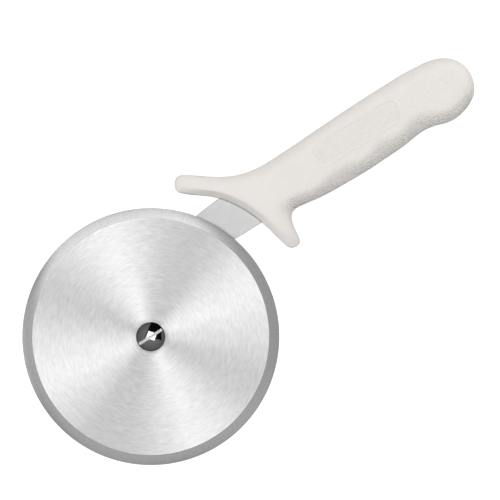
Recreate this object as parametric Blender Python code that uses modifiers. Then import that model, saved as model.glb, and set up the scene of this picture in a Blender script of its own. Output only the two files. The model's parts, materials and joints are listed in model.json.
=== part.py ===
"""A pizza cutter: a steel wheel on a cranked arm, with a moulded handle and finger guard.

Units are metres. The cutter lies on a table at z = 0, on the flat side of its handle and
the crown of its cap nut. +X runs from the wheel to the butt of the handle, and +Z is the
side of the arm that carries the wheel. The origin is the middle of the footprint.
"""

import math

import bmesh
import bpy
import numpy as np
from mathutils import Vector
from mathutils.geometry import interpolate_bezier

MM = 0.001

# Driving dimensions of the cutter
OVERALL_LENGTH = 266.2 * MM
WHEEL_RADIUS = 63.5 * MM
WHEEL_THICKNESS = 1.8 * MM
GRIND_WIDTH = 5.1 * MM
EDGE_THICKNESS = 0.3 * MM
HANDLE_HALF_THICKNESS = 10.8 * MM
ARM_THICKNESS = 2.4 * MM

# Gaps between neighbours
SEAT_GAP = 0.2 * MM
BORE_GAP = 0.2 * MM
RUNNING_GAP = 0.3 * MM
MOULDED_GAP = 0.3 * MM

# Axle hardware
SHOULDER_RADIUS = 4.0 * MM
WHEEL_BORE_RADIUS = SHOULDER_RADIUS + BORE_GAP
THREAD_RADIUS = 3.0 * MM
HEAD_RADIUS = 7.2 * MM
HEAD_RIM = 0.9 * MM
HEAD_RISE = 1.9 * MM
HEAD_EDGE_ROUND = 0.15 * MM
SHANK_CHAMFER = 0.5 * MM
SLOT_WIDTH = 1.4 * MM
SLOT_REACH = 6.65 * MM
SLOT_ANGLE = math.radians(0.5)
HEAD_WASHER_RADIUS = 6.6 * MM
HEAD_WASHER_THICKNESS = 0.6 * MM
SPACER_RADIUS = 8.0 * MM
SPACER_THICKNESS = 1.0 * MM
WASHER_EDGE = 0.1 * MM
LOCK_WASHER_INNER_RADIUS = THREAD_RADIUS + 0.3 * MM
LOCK_WASHER_THICKNESS = 1.4 * MM
SPRING_WIRE_WIDTH = 2.3 * MM
SPRING_WIRE_HEIGHT = 1.1 * MM
SPRING_TURN = math.radians(346)
NUT_ACROSS_FLATS = 10.0 * MM
NUT_HEX_HEIGHT = 4.3 * MM
NUT_FACE_RADIUS = 4.9 * MM
NUT_CHAMFER_ANGLE = math.radians(30)
NUT_CROWN_RADIUS = 4.55 * MM
NUT_CROWN_NECK = 0.4 * MM
NUT_BORE_DEPTH = 5.4 * MM

# Facets round a full turn
WHEEL_STEPS = 144
HARDWARE_STEPS = 48
BORE_STEPS = 32
SPRING_STEPS = 40

# Heights above the middle plane of the arm, from the back of the cutter to the front
ARM_FACE = ARM_THICKNESS / 2
SPACER_BASE = ARM_FACE + SEAT_GAP
WHEEL_BASE = SPACER_BASE + SPACER_THICKNESS + RUNNING_GAP
HEAD_WASHER_BASE = WHEEL_BASE + WHEEL_THICKNESS + RUNNING_GAP
HEAD_BASE = HEAD_WASHER_BASE + HEAD_WASHER_THICKNESS + SEAT_GAP
LOCK_WASHER_TOP = -ARM_FACE - SEAT_GAP
NUT_TOP = LOCK_WASHER_TOP - LOCK_WASHER_THICKNESS - SEAT_GAP
NUT_CROWN = -HANDLE_HALF_THICKNESS

AXLE_X = WHEEL_RADIUS - OVERALL_LENGTH / 2
TINY = 0.01 * MM

# The handle seen from the front, in millimetres from the axle. Each rib of the guard joins a
# point of its front edge to a point of its back edge, from the upper tip to the lower one,
# with the half thickness there and how far the shoulder stands in from the edge.
UPPER_GUARD = (
    ((48.7, 54.5), (52.6, 60.0), 6.9, 3.9),
    ((51.5, 50.1), (59.4, 57.0), 7.6, 3.4),
    ((56.4, 46.4), (66.2, 52.1), 8.3, 3.4),
    ((61.1, 42.9), (73.0, 47.7), 9.0, 3.4),
    ((65.2, 39.1), (80.5, 44.6), 9.6, 3.6),
)
LOWER_GUARD = (
    ((77.3, 14.2), (89.5, 10.5), 9.2, 3.4),
    ((79.2, 6.4), (88.5, 5.3), 8.0, 3.3),
    ((81.5, 0.3), (86.9, -0.2), 6.9, 3.6),
)
GUARD_THROAT = ((68.7, 34.8), (71.6, 29.9), (73.8, 25.0), (75.7, 20.1))
THROAT_HALF_THICKNESS = 10.0
THROAT_SHOULDER = 3.4

# Ribs of the grip, from the guard to the butt: top edge, bottom edge, half thickness
GRIP = (
    ((90.0, 42.7), (92.6, 14.7), 10.6),
    ((99.5, 42.6), (99.5, 14.8), 10.8),
    ((109.0, 42.8), (109.0, 13.3), 10.8),
    ((120.0, 43.3), (120.0, 12.6), 10.8),
    ((132.0, 43.8), (132.0, 12.4), 10.8),
    ((144.0, 44.1), (144.0, 12.7), 10.8),
    ((155.0, 44.2), (155.0, 13.2), 10.8),
    ((165.0, 44.1), (165.0, 14.2), 10.8),
    ((173.5, 44.0), (173.5, 13.7), 10.8),
    ((182.0, 43.5), (181.5, 11.5), 10.8),
    ((190.5, 42.1), (190.0, 12.0), 10.8),
)
BUTT = ((198.4, 37.8), (202.4, 30.7), (202.1, 23.0), (198.0, 15.9))
BUTT_HALF_THICKNESS = 10.0
TOP_SHOULDER = 5.0
BOTTOM_SHOULDER = 6.4
BUTT_SHOULDER = 5.0
INNER_ROWS = (0.2, 0.8)

# The arm seen from the front, in millimetres from the axle
BOSS_RADIUS = 10.5
BOSS_START = 150
BOSS_END = 310
BOSS_TOP_PULL = 18
BOSS_BOTTOM_PULL = 16
ARM_TOP_START = (56.0, 39.4)
ARM_TOP_END = (80.0, 41.4)
ARM_BOTTOM_START = (44.0, 18.7)
ARM_BOTTOM_END = (86.0, 18.7)
ARM_TOP_PULL = 30
ARM_BOTTOM_PULL = 18
TANG_MIDDLE = 28.5
TANG_FRONT = 90.0
TANG_BACK = 160.0
TANG_FRONT_HALF_WIDTH = 7.4
TANG_BACK_HALF_WIDTH = 6.4
TANG_HOLE_RADIUS = 3.0
TANG_HOLES = (108.0, 146.0)
ARM_HOLE_RADIUS = 3.2
ARM_EDGE_ROUND = 0.25


def clear_scene():
    """Remove whatever the file holds, so that only the cutter is left."""
    for obj in list(bpy.data.objects):
        bpy.data.objects.remove(obj)


def new_collection(name):
    """Add an empty collection to the scene."""
    collection = bpy.data.collections.new(name)
    bpy.context.scene.collection.children.link(collection)
    return collection


def make_material(name, colour, roughness, metallic):
    """Make a Principled material from a linear colour."""
    material = bpy.data.materials.new(name)
    material.use_nodes = True
    shader = material.node_tree.nodes["Principled BSDF"]
    shader.inputs["Base Color"].default_value = (*colour, 1.0)
    shader.inputs["Roughness"].default_value = roughness
    shader.inputs["Metallic"].default_value = metallic
    return material


def add_piece(name, data, z=0.0):
    """Place a piece of the cutter on the axle line, z above the middle plane of the arm."""
    piece = bpy.data.objects.new(name, data)
    cutter_collection.objects.link(piece)
    piece.parent = axle
    piece.location = (0, 0, z)
    return piece


def as_helper(obj):
    """Turn an object into a wire helper that only cuts or joins others."""
    cutter_collection.objects.unlink(obj)
    helper_collection.objects.link(obj)
    obj.hide_render = True
    obj.display_type = "WIRE"
    return obj


def finish_round(piece, material, sharp_degrees=30):
    """Shade a turned piece smooth, with its corners kept sharp."""
    piece.data.materials.append(material)
    piece.data.shade_smooth()
    piece.data.set_sharp_from_angle(angle=math.radians(sharp_degrees))


def add_boolean(piece, helper, operation):
    """Cut the piece with the helper, or join or limit it to the helper."""
    modifier = piece.modifiers.new(f"{operation.lower()}_{helper.name}", "BOOLEAN")
    modifier.operation = operation
    modifier.object = helper


def arc(centre, radius, start, end, steps):
    """Points along an arc, with its angles in degrees."""
    angles = np.radians(np.linspace(start, end, steps + 1))
    return [(centre[0] + radius * math.cos(a), centre[1] + radius * math.sin(a)) for a in angles]


def sweep(start, start_pull, end_pull, end, steps):
    """Points along a cubic curve that leaves and arrives towards its two pulls."""
    corners = [Vector((*point, 0)) for point in (start, start_pull, end_pull, end)]
    return [(p.x, p.y) for p in interpolate_bezier(*corners, steps)]


def turned(name, profile, steps, closed, z=0.0):
    """Turn a profile of (radius, height) points about the axle. It runs down its outer side."""
    mesh = bpy.data.meshes.new(name)
    edges = [(i, i + 1) for i in range(len(profile) - 1)]
    if closed:
        edges.append((len(profile) - 1, 0))
    mesh.from_pydata([(radius, 0, height) for radius, height in profile], edges, [])
    piece = add_piece(name, mesh, z)
    screw = piece.modifiers.new("turn", "SCREW")
    screw.steps = steps
    screw.render_steps = steps
    screw.use_merge_vertices = True
    screw.merge_threshold = TINY
    return piece


def washer(name, outer, thickness, z):
    """A flat washer for the bolt's shoulder, with a small chamfer round its outer edges."""
    inner = SHOULDER_RADIUS + BORE_GAP
    profile = [
        (inner, thickness),
        (outer - WASHER_EDGE, thickness),
        (outer, thickness - WASHER_EDGE),
        (outer, WASHER_EDGE),
        (outer - WASHER_EDGE, 0),
        (inner, 0),
    ]
    piece = turned(name, profile, HARDWARE_STEPS, True, z)
    finish_round(piece, black_plastic)
    return piece


def flat_outline(name, outlines, thickness, edge_round=0.0, grow=0.0):
    """A plate cut to closed outlines in millimetres, grown outwards and into its holes."""
    curve = bpy.data.curves.new(name, "CURVE")
    curve.dimensions = "2D"
    curve.fill_mode = "BOTH"
    curve.extrude = thickness / 2 - edge_round
    curve.bevel_depth = edge_round
    curve.bevel_resolution = 0
    curve.offset = grow - edge_round
    for outline in outlines:
        spline = curve.splines.new("POLY")
        spline.points.add(len(outline) - 1)
        for point, (x, y) in zip(spline.points, outline):
            point.co = (x * MM, y * MM, 0, 1)
        spline.use_cyclic_u = True
    return add_piece(name, curve)


def curve_to_mesh(obj):
    """Replace a curve with a closed mesh of the same name and place."""
    bpy.context.view_layer.update()
    graph = bpy.context.evaluated_depsgraph_get()
    mesh = bpy.data.meshes.new_from_object(obj.evaluated_get(graph))
    name = obj.name
    place = obj.matrix_world.copy()
    bpy.data.objects.remove(obj)
    work = bmesh.new()
    work.from_mesh(mesh)
    bmesh.ops.remove_doubles(work, verts=work.verts, dist=TINY / 10)
    work.to_mesh(mesh)
    work.free()
    piece = add_piece(name, mesh)
    piece.matrix_world = place
    return piece


def arm_outline():
    """The arm and its tang: a boss round the axle, a crank, and a stepped tang in the handle."""
    boss = arc((0, 0), BOSS_RADIUS, BOSS_START, BOSS_END, 20)
    start_angle = math.radians(BOSS_START)
    end_angle = math.radians(BOSS_END)
    boss_top_pull = (
        boss[0][0] + BOSS_TOP_PULL * math.sin(start_angle),
        boss[0][1] - BOSS_TOP_PULL * math.cos(start_angle),
    )
    boss_bottom_pull = (
        boss[-1][0] - BOSS_BOTTOM_PULL * math.sin(end_angle),
        boss[-1][1] + BOSS_BOTTOM_PULL * math.cos(end_angle),
    )
    top_slope = (ARM_TOP_END[1] - ARM_TOP_START[1]) / (ARM_TOP_END[0] - ARM_TOP_START[0])
    top_pull = (ARM_TOP_START[0] - ARM_TOP_PULL, ARM_TOP_START[1] - ARM_TOP_PULL * top_slope)
    bottom_pull = (ARM_BOTTOM_START[0] - ARM_BOTTOM_PULL, ARM_BOTTOM_START[1])
    top = sweep(ARM_TOP_START, top_pull, boss_top_pull, boss[0], 24)
    bottom = sweep(boss[-1], boss_bottom_pull, bottom_pull, ARM_BOTTOM_START, 20)
    tang_end = arc((TANG_BACK, TANG_MIDDLE), TANG_BACK_HALF_WIDTH, -90, 90, 14)
    shoulder_bottom = (TANG_FRONT, TANG_MIDDLE - TANG_FRONT_HALF_WIDTH)
    shoulder_top = (TANG_FRONT, TANG_MIDDLE + TANG_FRONT_HALF_WIDTH)
    outline = top[:-1] + boss[:-1] + bottom
    outline += [ARM_BOTTOM_END, shoulder_bottom] + tang_end + [shoulder_top, ARM_TOP_END]
    return outline


def tang_holes():
    """The holes in the tang that the handle's plastic is moulded through."""
    return [arc((x, TANG_MIDDLE), TANG_HOLE_RADIUS, 360, 15, 23) for x in TANG_HOLES]


def make_arm():
    """The arm, blanked from sheet steel."""
    axle_hole = arc((0, 0), ARM_HOLE_RADIUS, 360, 15, 23)
    outlines = [arm_outline(), axle_hole, *tang_holes()]
    arm = flat_outline("blade_arm", outlines, ARM_THICKNESS, ARM_EDGE_ROUND * MM)
    arm.data.materials.append(satin_steel)
    return arm


def make_tang_space():
    """The space that the tang fills in the handle, with the plastic pegs left in its holes."""
    outlines = [arm_outline(), *tang_holes()]
    thickness = ARM_THICKNESS + 2 * MOULDED_GAP
    plate = flat_outline("tang_space", outlines, thickness, grow=MOULDED_GAP)
    return as_helper(curve_to_mesh(plate))


def spline_controls(points):
    """Control points of the closed cubic B-spline that runs through the given points."""
    count = len(points)
    weights = np.eye(count) * 4
    for i in range(count):
        weights[i, i - 1] += 1
        weights[i, (i + 1) % count] += 1
    return np.linalg.solve(weights / 6, np.array(points))


def handle_stretches():
    """The handle's edge in named stretches, in turn: place, half thickness and shoulder."""
    upper_front = [(front, depth, inset) for front, _, depth, inset in UPPER_GUARD]
    lower_front = [(front, depth, inset) for front, _, depth, inset in LOWER_GUARD]
    lower_back = [(back, depth, inset) for _, back, depth, inset in reversed(LOWER_GUARD)]
    upper_back = [(back, depth, inset) for _, back, depth, inset in reversed(UPPER_GUARD)]
    throat = [(point, THROAT_HALF_THICKNESS, THROAT_SHOULDER) for point in GUARD_THROAT]
    bottom = [(bottom, depth, BOTTOM_SHOULDER) for _, bottom, depth in GRIP]
    top = [(top, depth, TOP_SHOULDER) for top, _, depth in reversed(GRIP)]
    butt = [(point, BUTT_HALF_THICKNESS, BUTT_SHOULDER) for point in reversed(BUTT)]
    return {
        "upper_front": upper_front,
        "throat": throat,
        "lower_front": lower_front,
        "lower_back": lower_back,
        "bottom": bottom,
        "butt": butt,
        "top": top,
        "upper_back": upper_back,
    }


def rib_edges(cage, rib):
    """Join the points of a rib, one after the other."""
    return [cage.edges.new(pair) for pair in zip(rib, rib[1:])]


def handle_cage():
    """The coarse cage of the handle's front half, open at the middle plane.

    Its front is lofted over the guard's and the grip's ribs, and its wall is drawn out of
    that front's edge, down to the middle plane.
    """
    stretches = handle_stretches()
    edge = [item for stretch in stretches.values() for item in stretch]
    controls = spline_controls([place for place, _, _ in edge])
    along = np.roll(controls, -1, axis=0) - np.roll(controls, 1, axis=0)
    outward = np.stack([along[:, 1], -along[:, 0]], axis=1)
    outward /= np.linalg.norm(outward, axis=1)[:, None]
    inset = np.array([inset for _, _, inset in edge])[:, None]
    depth = np.array([depth for _, depth, _ in edge])[:, None]
    shoulders = np.hstack([controls - outward * inset, depth]) * MM
    rims = np.hstack([controls + outward * inset / 2, 0 * depth]) * MM

    cage = bmesh.new()
    crown = [cage.verts.new(place) for place in shoulders]
    rim_places = dict(zip(crown, rims))
    in_turn = iter(crown)
    rows = {name: [next(in_turn) for _ in stretch] for name, stretch in stretches.items()}
    ribs = []
    for top, bottom in zip(reversed(rows["top"]), rows["bottom"]):
        inner = [cage.verts.new(top.co.lerp(bottom.co, share)) for share in INNER_ROWS]
        ribs.append([top, *inner, bottom])
    ribs.append(rows["butt"][::-1])
    front = rows["upper_front"] + rows["throat"] + rows["lower_front"]
    back = rows["upper_back"][::-1] + ribs[0] + rows["lower_back"][::-1]

    guard = [rib_edges(cage, front), rib_edges(cage, back)]
    first_rib = guard[1][len(rows["upper_back"]) : -len(rows["lower_back"])]
    grip = [first_rib, *(rib_edges(cage, rib) for rib in ribs[1:])]
    for before, after in [guard, *zip(grip, grip[1:])]:
        bmesh.ops.bridge_loops(cage, edges=before + after)

    border = [line for line in cage.edges if line.is_boundary]
    wall = bmesh.ops.extrude_edge_only(cage, edges=border)["geom"]
    for vert in wall:
        if isinstance(vert, bmesh.types.BMVert):
            neighbours = (line.other_vert(vert) for line in vert.link_edges)
            vert.co = next(rim_places[other] for other in neighbours if other in rim_places)
    bmesh.ops.recalc_face_normals(cage, faces=cage.faces)
    mesh = bpy.data.meshes.new("handle")
    cage.to_mesh(mesh)
    cage.free()
    return mesh


def make_handle():
    """The moulded handle: a mirrored, subdivided cage with the tang's space cut from it."""
    handle = add_piece("handle", handle_cage())
    handle.data.materials.append(white_plastic)
    handle.data.shade_smooth()
    mirror = handle.modifiers.new("back_half", "MIRROR")
    mirror.use_axis = (False, False, True)
    mirror.merge_threshold = TINY
    surface = handle.modifiers.new("surface", "SUBSURF")
    surface.levels = 2
    surface.render_levels = 2
    add_boolean(handle, make_tang_space(), "DIFFERENCE")
    return handle


def make_wheel():
    """The cutting wheel: a flat disc, ground on both sides to a thin edge."""
    half = WHEEL_THICKNESS / 2
    grind_start = WHEEL_RADIUS - GRIND_WIDTH
    profile = [
        (WHEEL_BORE_RADIUS, half),
        (grind_start, half),
        (WHEEL_RADIUS, EDGE_THICKNESS / 2),
        (WHEEL_RADIUS, -EDGE_THICKNESS / 2),
        (grind_start, -half),
        (WHEEL_BORE_RADIUS, -half),
    ]
    wheel = turned("cutting_wheel", profile, WHEEL_STEPS, True, WHEEL_BASE + half)
    finish_round(wheel, brushed_steel, sharp_degrees=5)
    return wheel


def dome_profile(rim_radius, rise, base, steps):
    """Points of a spherical crown from its top down to its rim, both included."""
    sphere = (rim_radius**2 + rise**2) / (2 * rise)
    sweep_angle = math.asin(rim_radius / sphere)
    angles = [sweep_angle * i / steps for i in range(steps + 1)]
    return [(sphere * math.sin(a), base + rise - sphere * (1 - math.cos(a))) for a in angles]


def make_bolt():
    """The axle bolt: a domed, slotted head, a plain shoulder for the wheel, and a shank."""
    shoulder_end = ARM_FACE + SEAT_GAP / 2
    shank_end = NUT_TOP - NUT_BORE_DEPTH + 2 * SEAT_GAP
    profile = dome_profile(HEAD_RADIUS, HEAD_RISE, HEAD_BASE + HEAD_RIM, 9)
    profile += [
        (HEAD_RADIUS, HEAD_BASE + HEAD_EDGE_ROUND),
        (HEAD_RADIUS - HEAD_EDGE_ROUND, HEAD_BASE),
        (SHOULDER_RADIUS, HEAD_BASE),
        (SHOULDER_RADIUS, shoulder_end),
        (THREAD_RADIUS, shoulder_end),
        (THREAD_RADIUS, shank_end + SHANK_CHAMFER),
        (THREAD_RADIUS - SHANK_CHAMFER, shank_end),
        (0, shank_end),
    ]
    bolt = turned("axle_bolt", profile, HARDWARE_STEPS, False)
    sphere = (HEAD_RADIUS**2 + HEAD_RISE**2) / (2 * HEAD_RISE)
    drop = sphere - math.sqrt(sphere**2 - SLOT_REACH**2)
    slot_floor = HEAD_BASE + HEAD_RIM + HEAD_RISE - drop
    slot_height = 4 * MM
    slot = box_helper("screwdriver_slot", (3 * HEAD_RADIUS, SLOT_WIDTH, slot_height))
    slot.location.z = slot_floor + slot_height / 2
    slot.rotation_euler.z = SLOT_ANGLE
    add_boolean(bolt, slot, "DIFFERENCE")
    finish_round(bolt, polished_steel)
    return bolt


def box_helper(name, size):
    """A box on the axle line that cuts others."""
    work = bmesh.new()
    bmesh.ops.create_cube(work, size=1)
    bmesh.ops.scale(work, vec=size, verts=work.verts)
    mesh = bpy.data.meshes.new(name)
    work.to_mesh(mesh)
    work.free()
    return as_helper(add_piece(name, mesh))


def make_cap_nut():
    """The cap nut: a hexagon with turned corners under a domed crown, with a blind hole."""
    corner_radius = NUT_ACROSS_FLATS / math.sqrt(3)
    work = bmesh.new()
    bmesh.ops.create_cone(
        work,
        cap_ends=True,
        segments=6,
        radius1=corner_radius,
        radius2=corner_radius,
        depth=NUT_HEX_HEIGHT,
    )
    mesh = bpy.data.meshes.new("cap_nut")
    work.to_mesh(mesh)
    work.free()
    nut = add_piece("cap_nut", mesh, NUT_TOP - NUT_HEX_HEIGHT / 2)

    hex_base = NUT_TOP - NUT_HEX_HEIGHT
    chamfer_drop = (corner_radius + TINY - NUT_FACE_RADIUS) * math.tan(NUT_CHAMFER_ANGLE)
    corner_profile = [
        (0, NUT_TOP + TINY),
        (NUT_FACE_RADIUS, NUT_TOP + TINY),
        (corner_radius + TINY, NUT_TOP - chamfer_drop),
        (corner_radius + TINY, hex_base + chamfer_drop),
        (NUT_FACE_RADIUS, hex_base - TINY),
        (0, hex_base - TINY),
    ]
    corners = turned("nut_corner_turning", corner_profile, HARDWARE_STEPS, False)
    add_boolean(nut, as_helper(corners), "INTERSECT")

    overlap = 1 * MM
    crown_base = hex_base - NUT_CROWN_NECK
    crown_rise = crown_base - NUT_CROWN
    crown_profile = [
        (radius, NUT_CROWN - (height - crown_rise))
        for radius, height in reversed(dome_profile(NUT_CROWN_RADIUS, crown_rise, 0, 9))
    ]
    root = [(0, hex_base + overlap), (NUT_CROWN_RADIUS, hex_base + overlap)]
    crown = turned("nut_crown", root + crown_profile, HARDWARE_STEPS, False)
    add_boolean(nut, as_helper(crown), "UNION")

    bore_radius = THREAD_RADIUS + SEAT_GAP
    bore_profile = [
        (0, NUT_TOP + overlap),
        (bore_radius, NUT_TOP + overlap),
        (bore_radius, NUT_TOP - NUT_BORE_DEPTH),
        (0, NUT_TOP - NUT_BORE_DEPTH),
    ]
    bore = turned("nut_bore", bore_profile, BORE_STEPS, False)
    add_boolean(nut, as_helper(bore), "DIFFERENCE")
    finish_round(nut, polished_steel)
    return nut


def make_lock_washer():
    """A split spring washer: a square wire wound almost once round the shank."""
    inner = LOCK_WASHER_INNER_RADIUS
    outer = inner + SPRING_WIRE_WIDTH
    spring_rise = LOCK_WASHER_THICKNESS - SPRING_WIRE_HEIGHT
    corners = [
        (inner, LOCK_WASHER_TOP - LOCK_WASHER_THICKNESS),
        (outer, LOCK_WASHER_TOP - LOCK_WASHER_THICKNESS),
        (outer, LOCK_WASHER_TOP - spring_rise),
        (inner, LOCK_WASHER_TOP - spring_rise),
    ]
    work = bmesh.new()
    section = work.faces.new([work.verts.new((radius, 0, height)) for radius, height in corners])
    bmesh.ops.spin(
        work,
        geom=[section, *section.edges, *section.verts],
        axis=(0, 0, 1),
        cent=(0, 0, 0),
        dvec=(0, 0, spring_rise / SPRING_STEPS),
        angle=SPRING_TURN,
        steps=SPRING_STEPS,
    )
    bmesh.ops.recalc_face_normals(work, faces=work.faces)
    mesh = bpy.data.meshes.new("lock_washer")
    work.to_mesh(mesh)
    work.free()
    spring = add_piece("lock_washer", mesh)
    finish_round(spring, satin_steel)
    return spring


def make_washers():
    """The two plastic washers that keep the wheel off the arm and off the bolt's head."""
    washer("spacer_washer", SPACER_RADIUS, SPACER_THICKNESS, SPACER_BASE)
    washer("head_washer", HEAD_WASHER_RADIUS, HEAD_WASHER_THICKNESS, HEAD_WASHER_BASE)


clear_scene()
cutter_collection = new_collection("pizza_cutter")
helper_collection = new_collection("helpers")
white_plastic = make_material("white_polypropylene", (0.80, 0.78, 0.73), 0.55, 0.0)
black_plastic = make_material("black_acetal", (0.02, 0.02, 0.02), 0.45, 0.0)
brushed_steel = make_material("brushed_steel", (0.60, 0.60, 0.60), 0.32, 1.0)
satin_steel = make_material("satin_steel", (0.55, 0.55, 0.55), 0.40, 1.0)
polished_steel = make_material("polished_steel", (0.62, 0.62, 0.62), 0.08, 1.0)

axle = bpy.data.objects.new("axle", None)
cutter_collection.objects.link(axle)
axle.location = (AXLE_X, 0, HANDLE_HALF_THICKNESS)

make_handle()
make_arm()
make_wheel()
make_bolt()
make_washers()
make_lock_washer()
make_cap_nut()
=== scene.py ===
"""Looks of a pizza cutter: brushed and ground steel, polished axle parts, a pebbled handle.

Units are metres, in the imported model's frame: the cutter lies on its back on the floor at
z = 0, +X runs from the wheel to the butt of the handle, and +Z is the wheel's side.
"""

import json
import math

import bmesh
import bpy
import numpy as np
from bpy.props import FloatProperty, FloatVectorProperty, PointerProperty
from mathutils import Matrix, Vector


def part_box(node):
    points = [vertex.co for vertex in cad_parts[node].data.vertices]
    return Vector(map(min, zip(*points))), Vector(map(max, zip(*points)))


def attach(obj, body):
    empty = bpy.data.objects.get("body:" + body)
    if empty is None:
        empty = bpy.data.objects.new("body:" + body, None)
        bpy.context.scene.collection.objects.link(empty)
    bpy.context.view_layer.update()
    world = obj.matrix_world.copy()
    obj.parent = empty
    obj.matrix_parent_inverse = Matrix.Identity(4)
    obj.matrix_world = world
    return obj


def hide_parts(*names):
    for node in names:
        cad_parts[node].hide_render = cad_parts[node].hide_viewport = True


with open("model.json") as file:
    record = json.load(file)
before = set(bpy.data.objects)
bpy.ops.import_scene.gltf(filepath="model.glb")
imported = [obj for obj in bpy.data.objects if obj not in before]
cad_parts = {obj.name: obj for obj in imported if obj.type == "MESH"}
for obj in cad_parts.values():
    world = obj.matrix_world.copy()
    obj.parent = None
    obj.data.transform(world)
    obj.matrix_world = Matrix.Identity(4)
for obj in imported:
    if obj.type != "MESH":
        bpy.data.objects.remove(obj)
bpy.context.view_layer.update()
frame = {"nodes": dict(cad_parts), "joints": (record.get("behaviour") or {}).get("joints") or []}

bl_info = {
    "name": "Pizza Cutter",
    "version": (1, 0, 0),
    "blender": (4, 5, 0),
    "location": "View3D > Sidebar > Pizza Cutter",
    "description": "Dresses a pizza cutter in brushed steel and pebbled plastic",
    "category": "Object",
}

MM = 0.001

# Lengths too small to see, to merge points by and to keep faces apart
TINY = 0.001 * MM
HAIR = 10 * TINY

# The body that every piece but the wheel rides on
BODY = "handle_and_arm"

# Places read from the frame
AXLE = Vector(frame["joints"][0]["pos_m"])
ARM_LOW, ARM_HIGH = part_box("blade_arm")
WHEEL_LOW, WHEEL_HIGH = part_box("cutting_wheel")
BOLT_LOW, BOLT_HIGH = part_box("axle_bolt")
SPRING_LOW, SPRING_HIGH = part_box("lock_washer")
NUT_LOW, NUT_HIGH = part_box("cap_nut")
HANDLE_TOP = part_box("handle")[1].z
SPACER_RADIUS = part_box("spacer_washer")[1].x - AXLE.x
MID_Z = (ARM_LOW.z + ARM_HIGH.z) / 2

# The arm's blanked edge, rounded by tumbling, and the angles that tell it and the flats apart
ARM_EDGE = 0.2 * MM
ARM_EDGE_ANGLE = math.radians(60)
ARM_FLAT_ANGLE = math.radians(0.5)

# The wheel, as it was made
WHEEL_RADIUS = (WHEEL_HIGH.x - WHEEL_LOW.x) / 2
WHEEL_HALF = (WHEEL_HIGH.z - WHEEL_LOW.z) / 2
WHEEL_BORE = 4.2 * MM
GRIND_WIDTH = 5.1 * MM
EDGE_THICKNESS = 0.3 * MM
GRIND_BREAK = 0.06 * MM
GRIND_SWELL = 0.022 * MM
GRIND_ROWS = 5
GRIND_STREAK_LENGTH = 8 * MM
BORE_CHAMFER = 0.15 * MM
WHEEL_STEPS = 288

# The axle hardware, as it was made. ROUND_SHARE of a rounded corner's size is how far its
# middle stands in.
SEAT_GAP = 0.2 * MM
ROUND_SHARE = 0.3
SHOULDER_RADIUS = 4.0 * MM
SHANK_RADIUS = 3.0 * MM
SHANK_CHAMFER = 0.5 * MM
HEAD_RADIUS = (BOLT_HIGH.x - BOLT_LOW.x) / 2
HEAD_RIM = 0.9 * MM
HEAD_RISE = 1.9 * MM
HEAD_EDGE_ROUND = 0.15 * MM
HEAD_DOME_STEPS = 32
SLOT_WIDTH = 1.4 * MM
SLOT_REACH = 6.65 * MM
SLOT_CUTTER_LENGTH = 3 * HEAD_RADIUS
SLOT_CUTTER_HEIGHT = 4 * MM
SLOT_ANGLE = math.radians(0.5)
SLOT_EDGE = 0.2 * MM
WASHER_BORE = 4.2 * MM
WASHER_EDGE = 0.1 * MM
SPRING_INNER = 3.3 * MM
SPRING_WIRE_WIDTH = 2.3 * MM
SPRING_WIRE_HEIGHT = 1.1 * MM
SPRING_WIRE_CORNER = 0.12 * MM
SPRING_TURN = math.radians(346)
NUT_CORNER_RADIUS = 10.0 * MM / math.sqrt(3)
NUT_HEX_HEIGHT = 4.3 * MM
NUT_FACE_RADIUS = 4.9 * MM
NUT_CHAMFER_ANGLE = math.radians(30)
NUT_CROWN_RADIUS = 4.55 * MM
NUT_CROWN_NECK = 0.4 * MM
NUT_BORE_RADIUS = 3.2 * MM
NUT_BORE_DEPTH = 5.4 * MM
NUT_DOME_STEPS = 24
HARDWARE_STEPS = 96

# The photograph's frame: pixels of its 500 x 500 picture, and the angle of the cutter in it
PHOTO_SIDE = 500
WHEEL_CENTRE_PX = (150.26, 336.13)
WHEEL_RADIUS_PX = 128.71
CUTTER_ANGLE = math.radians(32)
CAMERA_HEIGHT = 1.2

# The room's dark corner, as the picture shows it: three walls, each with its azimuth in
# degrees and how far towards it a ray must lean before it comes into the dark
DARK_CORNER = ((-25.4, -0.39, -0.36), (77, -0.14, -0.06), (185, -0.69, -0.63))

# The handle seen from the front, in millimetres from the axle. Each rib of the guard joins a
# point of its front edge to a point of its back edge, from the upper tip to the lower one,
# with the half thickness there and how far the shoulder stands in from the edge.
UPPER_GUARD = (
    ((48.9, 54.9), (52.6, 60.1), 6.1, 5.0),
    ((52.1, 50.5), (59.4, 57.0), 7.3, 3.8),
    ((56.7, 46.9), (66.1, 52.0), 8.3, 3.4),
    ((61.4, 43.3), (73.0, 47.6), 9.0, 3.4),
    ((65.4, 39.3), (80.5, 44.5), 9.6, 3.6),
)
LOWER_GUARD = (
    ((77.7, 14.3), (89.2, 10.6), 9.7, 3.4),
    ((79.5, 6.5), (88.4, 5.4), 8.4, 3.6),
    ((81.8, 0.7), (86.8, 0.2), 4.8, 5.2),
)
GUARD_THROAT = ((68.95, 34.95), (71.95, 30.1), (74.2, 25.2), (76.05, 20.2))
THROAT_HALF_THICKNESS = 10.0
THROAT_SHOULDER = 2.8

# The guard's front wall stands steeper than its back: its shoulder as a share of the rib's
FRONT_SHOULDER_SHARE = 0.82

# How crisp the edge between the guard's face and its front wall is, from rib to rib, and how
# crisp that wall is at the middle plane, where its two flat halves meet
GUARD_CREASES = (0, 0.4, 0.5, 0.5, 0.5, 0.5, 0.5, 0.5, 0.45, 0.25, 0)
FRONT_RIM_CREASES = (0, 0.3, 0.45, 0.45, 0.45, 0.45, 0.45, 0.45, 0.45, 0.3, 0)

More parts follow.
